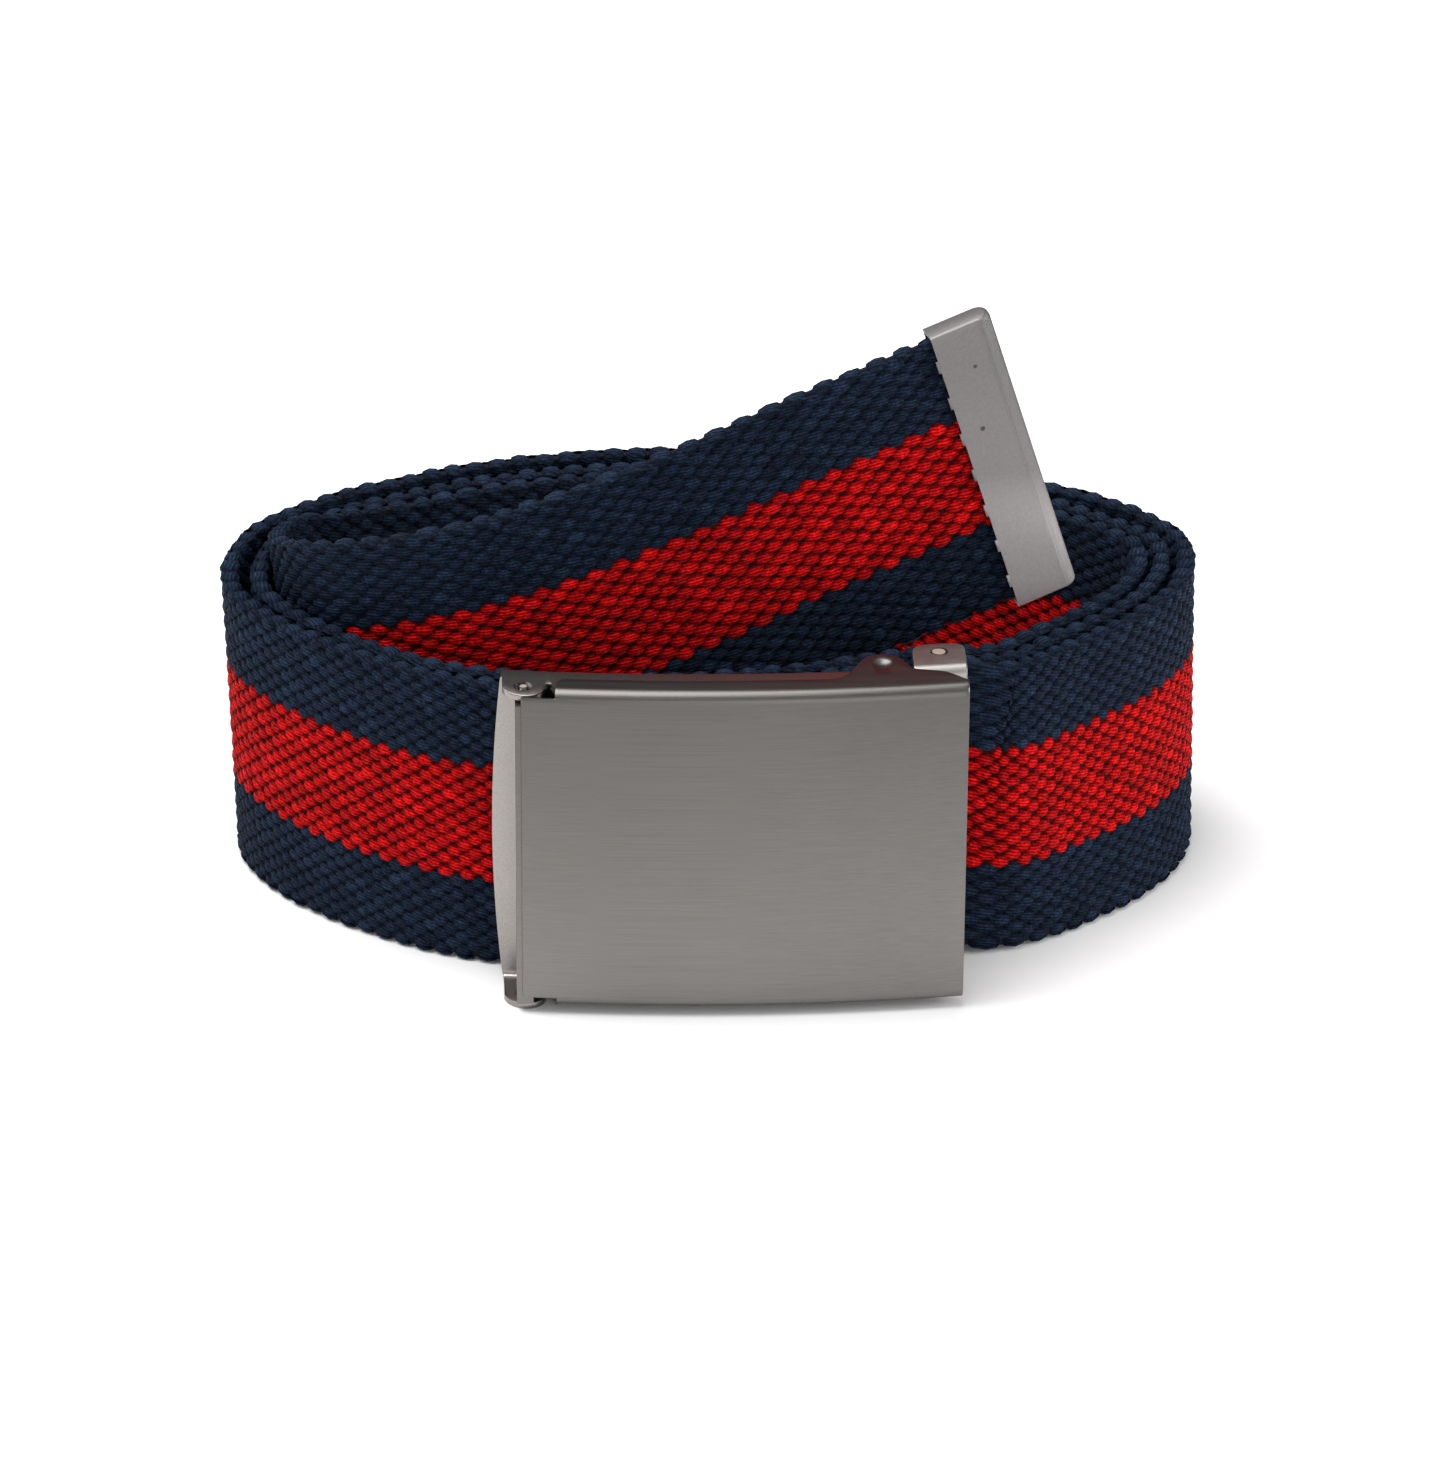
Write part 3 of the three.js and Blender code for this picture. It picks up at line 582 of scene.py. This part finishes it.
def floatSpots(row, side, up, out, turn):
    place = np.linspace(weave["margin"], strapPath["length"] - weave["margin"], strap["samples"])
    period = np.interp(place, *zip(*weave["period"]))
    phase = np.concatenate([[0], np.cumsum(np.diff(place) / period[1:])])
    along = np.interp(np.arange((row * weave["stagger"] + (0.5 if side < 0 else 0)) % 1, phase[-1]), phase, place)
    same = np.ones(len(along))
    stretch = np.interp(along, place, period) * weave["float"]["share"]
    return np.column_stack([along, up * same, out * same, turn * same, stretch, same, same])


def makeWebbing():
    navy, red = yarnMaterial("navyYarn", weave["navy"]), yarnMaterial("redYarn", weave["red"])
    newPiece("webbingCore", makeCore(), coreMaterial(), "belt", ["webbing"])
    rows, navyRows = weave["rows"], weave["navyRows"]
    for side, sideName in ((1, "Outer"), (-1, "Inner")):
        stripes = {"lowNavy": range(navyRows), "red": range(navyRows, rows - navyRows),
                   "topNavy": range(rows - navyRows, rows)}
        for stripe, inside in stripes.items():
            turn = 0 if side > 0 else math.pi
            spots = [floatSpots(row, side, (row - (rows - 1) / 2) * weave["pitch"], side * weave["faceHeight"], turn)
                     for row in inside]
            name = stripe + "Floats" + sideName
            mesh = repeatFloats(name, np.vstack(spots), seed=len(name) + side)
            newPiece(name, mesh, red if stripe == "red" else navy, "belt")
    knob = weave["knob"]
    edges = [floatSpots(rows, 1, end * knob["height"], 0, end * math.pi / 2) for end in (1, -1)]
    edges = np.vstack(edges) * [1, 1, 1, 1, knob["long"], knob["wide"], knob["tall"]]
    edgeYarn = yarnMaterial("edgeYarn", {**weave["navy"], **knob["look"]})
    newPiece("selvedge", repeatFloats("selvedge", edges, seed=5), edgeYarn, "belt")


makeWebbing()
print("webbing woven")


# folded sheet metal: a flat grid is bent into a channel, then gets its wall and its rounded rims

def withModifiers(mesh, *steps):
    worker = bpy.data.objects.new("worker", mesh)
    bpy.context.scene.collection.objects.link(worker)
    for number, (kind, settings) in enumerate(steps):
        modifier = worker.modifiers.new("step" + str(number), kind)
        for key, value in settings.items():
            setattr(modifier, key, value)
    graph = bpy.context.evaluated_depsgraph_get()
    made = bpy.data.meshes.new_from_object(worker.evaluated_get(graph), depsgraph=graph)
    bpy.data.objects.remove(worker)
    return made


def wall(thickness, rim):
    return [
        ("SOLIDIFY", {"thickness": thickness, "offset": -1, "use_even_offset": True}),
        ("BEVEL", {"width": rim, "segments": 2, "limit_method": "ANGLE", "angle_limit": math.radians(50),
                   "use_clamp_overlap": False}),
    ]


def cutAway(mesh, cutter):  # cutter is a bmesh
    tool = bpy.data.objects.new("cutter", meshOf(cutter, "cutter"))
    bpy.context.scene.collection.objects.link(tool)
    made = withModifiers(mesh, ("BOOLEAN", {"operation": "DIFFERENCE", "solver": "EXACT", "object": tool}))
    bpy.data.objects.remove(tool)
    return made


def smoothBelow(mesh, degrees=38):
    shadeSmooth(mesh)
    mesh.set_sharp_from_angle(angle=math.radians(degrees))
    mesh.update()
    return mesh


def rod(x, y, radius, low, high, segments=32, caps=True):
    bm = bmesh.new()
    bmesh.ops.create_cone(bm, cap_ends=caps, segments=segments, radius1=radius, radius2=radius, depth=high - low,
                          matrix=Matrix.Translation((x, y, (low + high) / 2)))
    return bm


def bar(x0, x1, y0, y1, z0, z1, rim=0.0):
    bm = bmesh.new()
    bmesh.ops.create_cube(bm, size=1)
    bmesh.ops.scale(bm, vec=(x1 - x0, y1 - y0, z1 - z0), verts=bm.verts)
    bmesh.ops.translate(bm, vec=((x0 + x1) / 2, (y0 + y1) / 2, (z0 + z1) / 2), verts=bm.verts)
    if rim:
        roundOff(bm, bm.edges[:], rim)
    return bm


def pinHole(place, radius, top, past=2):  # cuts a pin's round hole through both walls
    x, depth = place
    return rod(x, depth + float(bowAt(x)), radius, -past, top + past)


def faceFront(bm, face, side=1):  # turns all faces if this one looks backwards
    if face.normal.y * side > 0:
        bmesh.ops.reverse_faces(bm, faces=bm.faces[:])


def columnsOf(runs):  # where a sheet's columns stand: each run has its start, its end and how many
    return np.unique(np.round(np.concatenate([np.linspace(*run) for run in runs]), 4))


def channelRows(bottom, top, radius, walls=3, bends=7, web=24):
    rows = [("top", f) for f in np.linspace(0, 1, walls, endpoint=False)]
    rows += [("topBend", a) for a in np.linspace(0, math.pi / 2, bends, endpoint=False)]
    rows += [("web", z) for z in np.linspace(top - radius, bottom + radius, web)]
    rows += [("lowBend", a) for a in np.linspace(math.pi / 2, 0, bends)[1:]]
    return rows + [("low", f) for f in np.linspace(1, 0, walls + 1)[1:]]


def channelSheet(part):
    xs, radius, web, side = part["columns"], part["radius"], part["web"], part["side"]
    bottom, top = part["bottom"], part["top"]
    rows = channelRows(bottom, top, radius)
    bm = bmesh.new()
    bmesh.ops.create_grid(bm, x_segments=len(xs) - 1, y_segments=len(rows) - 1, size=0.5)
    for v in bm.verts:
        x = float(xs[round((v.co.x + 0.5) * (len(xs) - 1))])
        zone, f = rows[round((0.5 - v.co.y) * (len(rows) - 1))]
        bendStart = web + side * radius
        if zone in ("top", "low"):
            edge = part["topEdge"](x) if zone == "top" else part["lowEdge"](x)
            depth, z = edge + (bendStart - edge) * f, top if zone == "top" else bottom
        elif zone == "web":
            depth, z = web, f
        else:
            depth = web + side * radius * (1 - math.sin(f))
            rise = radius * (1 - math.cos(f))
            z = top - rise if zone == "topBend" else bottom + rise
        v.co = (x, depth + float(bowAt(x)), z)
        if "bend" in part:
            v.co = part["bend"](v.co)
    bm.normal_update()
    aim = Vector((xs[len(xs) // 2], web, (bottom + top) / 2))
    faceFront(bm, min(bm.faces, key=lambda f: (f.calc_center_median() - aim).length), side)
    return bm


def joinMeshes(name, *meshes):
    bm = bmesh.new()
    for mesh in meshes:
        bm.from_mesh(mesh)
    return meshOf(bm, name)


def inBuckle(mesh):  # from the buckle's own place, in mm, to its place on the belt
    place = Matrix.Translation((Vector((*buckle["place"], 0)) + Vector(shift)) * mm)
    mesh.transform(place @ Matrix.Rotation(buckle["turn"], 4, "Z") @ Matrix.Scale(mm, 4))
    return mesh


metals = {
    # painted light and shade by height: from one height in metres to another, how bright the metal is painted along
    # the way
    "brushed": {"colour": (0.142, 0.134, 0.127), "paintedShadeByHeight": ((0, 0.042), (1.42, 1.06, 0.79)), "shade": (0.88, 1.11),
                "grain": (50, 2500, 11000), "turn": buckle["turn"], "roughness": (0.3, 0.42), "bump": 0.16,
                "cloudScale": 40.0, "speckScale": 300.0, "speckSize": 0.004},
    "clamp": {"colour": (0.3, 0.285, 0.27), "shade": (0.96, 1.03),
              "grain": (900, 900, 900), "roughness": (0.34, 0.44), "bump": 0.05,
              "cloudScale": 60.0, "speckScale": 300.0, "speckSize": 0.003},
    "blasted": {"colour": (0.3, 0.28, 0.267), "shade": (0.84, 1.12),
                "grain": (5500, 5500, 5500), "roughness": (0.24, 0.36), "bump": 0.4,
                "cloudScale": 60.0, "speckScale": 300.0, "speckSize": 0.004},
    "pin": {"colour": (0.72, 0.66, 0.57), "shade": (0.9, 1.05),
            "grain": (5500, 5500, 5500), "roughness": (0.4, 0.5), "bump": 0.2,
            "cloudScale": 60.0, "speckScale": 300.0, "speckSize": 0.004},
    # the tip is painted about three times as bright at its foot and darker at its top
    "tip": {"colour": (0.186, 0.176, 0.173), "paintedShadeByHeight": ((0.04, 0.07), (3.1, 1.02, 0.8)), "shade": (0.9, 1.08),
            "grain": (2600, 2600, 2600), "roughness": (0.36, 0.48), "bump": 0.45, "metallic": 0.5,
            "cloudScale": 90.0, "speckScale": 210.0, "speckSize": 0.05},
}

cover = {
    "bottom": 1.1, "top": 43.3, "radius": 1.5, "web": 0.0, "side": 1, "sheet": 0.8, "rim": 0.14,
    "columnRuns": [(-26.65, -25.7, 5), (-25.7, -22.55, 10), (-22.55, -20, 9), (-20, 10.5, 44), (10.5, 25.9, 58),
                   (25.9, 26.65, 4)],
    "lowEdgeMost": 6.2, "notch": {"right": -22.55, "depth": 1.0},
    "endRoll": 1.3, "rollMost": 1.2, "rollDepth": 2, "rollLeft": -25.85, "rollRight": 26.05,
    "hinge": (-26.25, 3.8), "barrel": (1.0, 0.28), "barrelRim": 0.08, "knuckleFront": 0.5,
    "cam": (0.7, 3.0), "camRim": 0.2, "inside": (1.1, 41.1),
    "dimple": {"place": (16.6, 7.4), "ball": 2.0, "depth": 0.4},
    # how deep the flange reaches at each place along the cover
    "flange": [(-26.65, 2.2), (-23.2, 2.2), (-22.5, 2.6), (-21.9, 3.7), (-21, 4), (-11, 4), (0, 4), (10.4, 4),
               (11.6, 4.4), (12.8, 5.9), (13.8, 8.1), (14.9, 9.6), (16.8, 10.1), (18.5, 9.2), (19.3, 7.9),
               (19.9, 6.4), (20.6, 5.7), (22, 5.3), (24, 4.6), (25.3, 3.4), (26.2, 2.4), (26.65, 2.2)],
}


def makeCover():
    xs, depths = zip(*cover["flange"])
    notch = cover["notch"]
    cover["columns"] = columnsOf(cover["columnRuns"])
    cover["topEdge"] = lambda x: float(smoothTable(xs, depths, x))
    cover["lowEdge"] = lambda x: min(cover["topEdge"](x), cover["lowEdgeMost"])

    def rollEnds(place):  # the sheet's two ends are pressed back a little
        past = min(cover["rollMost"], max(cover["rollLeft"] - place.x, place.x - cover["rollRight"], 0))
        pressed = cover["endRoll"] - math.sqrt(cover["endRoll"] ** 2 - past**2)
        near = max(0, 1 - (place.y - float(bowAt(place.x))) / cover["rollDepth"])
        return Vector((place.x, place.y + pressed * near, place.z))

    cover["bend"] = rollEnds
    bm = channelSheet(cover)
    low, high = cover["bottom"] + notch["depth"], cover["top"] - notch["depth"]
    middles = [(f, f.calc_center_median()) for f in bm.faces]
    gone = [f for f, at in middles if at.x < notch["right"] and not low < at.z < high]
    bmesh.ops.delete(bm, geom=gone, context="FACES")
    sheet = withModifiers(meshOf(bm, "coverSheet"), *wall(cover["sheet"], cover["rim"]))
    dimple = cover["dimple"]
    x, depth = dimple["place"]
    ball = bmesh.new()
    bmesh.ops.create_uvsphere(ball, u_segments=48, v_segments=32, radius=dimple["ball"], matrix=Matrix.Translation(
        (x, depth + float(bowAt(x)), cover["top"] + dimple["ball"] - dimple["depth"])))
    sheet = cutAway(sheet, ball)
    hingeX, hingeDepth = cover["hinge"]
    hingeY = hingeDepth + float(bowAt(hingeX))
    outer, barrelWall = cover["barrel"]
    half, reach = cover["cam"]
    low, high = cover["inside"]
    tube = meshOf(rod(hingeX, hingeY, outer, low, high, caps=False), "barrel")
    barrel = withModifiers(tube, *wall(barrelWall, cover["barrelRim"]))
    knuckle = bar(hingeX - outer, hingeX + outer,
                  cover["knuckleFront"] + float(bowAt(hingeX)), hingeY - outer + barrelWall / 2, low, high)
    cam = bar(hingeX - half, hingeX + half,
              hingeY + outer - barrelWall / 2, hingeY + reach, low, high, rim=cover["camRim"])
    mesh = joinMeshes("buckleCover", sheet, barrel, meshOf(knuckle, "knuckle"), meshOf(cam, "cam"))
    newPiece("buckleCover", smoothBelow(inBuckle(mesh)), metalMaterial("brushedNickel", metals["brushed"]),
             "cover", ["buckle_cover"])


back = {
    "bottom": 0.0, "top": 42.2, "radius": 1.5, "web": 9.1, "side": -1, "sheet": 0.8, "rim": 0.14,
    "left": -28.75, "columnRuns": [(-28.75, -21.6, 44), (-21.6, 20.2, 50)], "bulge": 1.25, "bulgeReach": 1.4,
    "holeRadius": 1.15, "lowFront": 3.8, "lowFrom": -22.3,
    # where the front edge of the walls stands at each place, with the round ears at the left
    "front": [(-28.75, 3.3), (-28.4, 2.43), (-27.6, 1.64), (-26.25, 1.25), (-24.9, 1.64), (-24.1, 2.43),
              (-23.75, 3.3), (-23.6, 4.6), (-22.9, 4.6), (-22.3, 1.8), (-21.6, 1.6), (-12, 1.6), (0, 1.6),
              (10, 1.6), (20.2, 1.6)],
}


def makeBack():
    xs, fronts = zip(*back["front"])
    back["columns"] = columnsOf(back["columnRuns"])
    back["topEdge"] = lambda x: float(smoothTable(xs, fronts, x))
    back["lowEdge"] = lambda x: max(back["topEdge"](x), back["lowFront"] if x > back["lowFrom"] else 0)
    middle = back["top"] / 2

    def bulge(place):
        near = max(0, 1 - (place.x - back["left"]) / back["bulgeReach"])
        return Vector((place.x - back["bulge"] * near * (1 - ((place.z - middle) / middle) ** 2), place.y, place.z))

    back["bend"] = bulge
    sheet = withModifiers(meshOf(channelSheet(back), "backSheet"), *wall(back["sheet"], back["rim"]))
    mesh = cutAway(sheet, pinHole(cover["hinge"], back["holeRadius"], back["top"]))
    newPiece("buckleBack", smoothBelow(inBuckle(mesh)), metalMaterial("blastedNickel", metals["blasted"]),
             "belt", ["buckle_frame"])


clamp = {
    "bottom": 0.0, "top": 41.9, "radius": 1.5, "web": 8.0, "side": 1, "sheet": 0.8, "rim": 0.14,
    "left": 20.5, "right": 26.9, "columnCount": 36, "reach": 15.0, "corner": 1.7, "holeRadius": 1.1,
    "tongue": {"left": 12.0, "margin": 8.0, "depth": 7.2, "rim": 0.12},
}


def makeClamp():
    clamp["columns"] = np.linspace(clamp["left"], clamp["right"], clamp["columnCount"])

    def backEdge(x):  # the lugs' back corners are round
        into = max(0, clamp["corner"] - min(x - clamp["left"], clamp["right"] - x))
        return clamp["reach"] - clamp["corner"] + math.sqrt(max(0, clamp["corner"] ** 2 - into**2))

    clamp["topEdge"] = clamp["lowEdge"] = backEdge
    sheet = withModifiers(meshOf(channelSheet(clamp), "clampSheet"), *wall(clamp["sheet"], clamp["rim"]))
    sheet = cutAway(sheet, pinHole(strap["pin"], clamp["holeRadius"], clamp["top"]))
    tongue = clamp["tongue"]
    bm = bmesh.new()
    bmesh.ops.create_grid(bm, x_segments=12, y_segments=8, size=0.5)
    for v in bm.verts:
        x = tongue["left"] + (v.co.x + 0.5) * (clamp["left"] + clamp["sheet"] - tongue["left"])
        z = clamp["top"] / 2 + v.co.y * (clamp["top"] - 2 * tongue["margin"])
        v.co = (x, tongue["depth"] + float(bowAt(x)), z)
    bm.normal_update()
    bm.faces.ensure_lookup_table()
    faceFront(bm, bm.faces[0])
    strip = withModifiers(meshOf(bm, "tongue"), *wall(clamp["sheet"], tongue["rim"]))
    newPiece("strapClamp", smoothBelow(inBuckle(joinMeshes("strapClamp", sheet, strip))),
             metalMaterial("clampNickel", metals["clamp"]), "belt", ["strap_clamp"])


def dressPins():
    pinMetal = metalMaterial("pinNickel", metals["pin"])
    for name in ("hinge_pin", "clamp_pin"):
        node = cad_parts[name]
        node.data.materials.clear()
        node.data.materials.append(pinMetal)


makeCover()
makeBack()
makeClamp()
dressPins()
print("buckle folded")


# metal tip on the free end, drawn flat: along the strap, out of its face and across it

tip = {
    "length": 8.0, "thickness": 3.6, "width": 40.0, "wall": 0.4, "fold": 1.6, "corner": 0.55, "pocket": 7.3,
    "teeth": {"count": 7, "pitch": 5.3, "length": 1.7, "reach": 0.32, "sunk": 0.5,
              "outer": 0.02, "inner": 0.34, "rim": 0.1},
}


def makeTip():
    half, width = tip["thickness"] / 2, tip["width"] / 2
    bm = bar(0, tip["length"], -half, half, -width, width)
    fold = [e for e in bm.edges if all(v.co.x > tiny for v in e.verts)
            and abs(e.verts[0].co.y - e.verts[1].co.y) < tiny]
    roundOff(bm, fold, tip["fold"], 8)
    ends = [e for e in bm.edges if all(abs(abs(v.co.z) - width) < tiny for v in e.verts)
            and any(v.co.x > tiny for v in e.verts)]
    roundOff(bm, ends, tip["corner"], 3)
    mouth = max((f for f in bm.faces if f.calc_center_median().x < tiny), key=lambda f: f.calc_area())
    bmesh.ops.inset_region(bm, faces=[mouth], thickness=tip["wall"])
    pushed = bmesh.ops.extrude_face_region(bm, geom=[mouth])
    bmesh.ops.delete(bm, geom=[mouth], context="FACES_ONLY")
    bmesh.ops.translate(bm, vec=(tip["pocket"], 0, 0), verts=vertsOf(pushed))
    meshes = [meshOf(bm, "tipShell")]
    teeth = tip["teeth"]
    for side in (1, -1):
        for number in range(teeth["count"]):
            z = (number - (teeth["count"] - 1) / 2) * teeth["pitch"]
            out = sorted((side * (half - teeth["outer"]), side * (half - teeth["inner"])))
            tooth = bar(-teeth["reach"], teeth["sunk"], *out,
                        z - teeth["length"] / 2, z + teeth["length"] / 2, rim=teeth["rim"])
            meshes.append(meshOf(tooth, "tooth"))
    mesh = joinMeshes("tipCap", *meshes)
    frameAt = {key: Vector(strapPath[key][-1]) for key in ("middle", "along", "across")}
    outwards = frameAt["across"].cross(frameAt["along"])
    axes = Matrix((frameAt["along"], outwards, frameAt["across"])).transposed().to_4x4()
    start = frameAt["middle"] - frameAt["along"] * strap["tipOverlap"]
    mesh.transform(Matrix.Scale(mm, 4) @ Matrix.Translation(start) @ axes)
    newPiece("tipCap", smoothBelow(mesh), metalMaterial("tipNickel", metals["tip"]),
             "belt", ["tip_cap"])


makeTip()
print("tip folded")
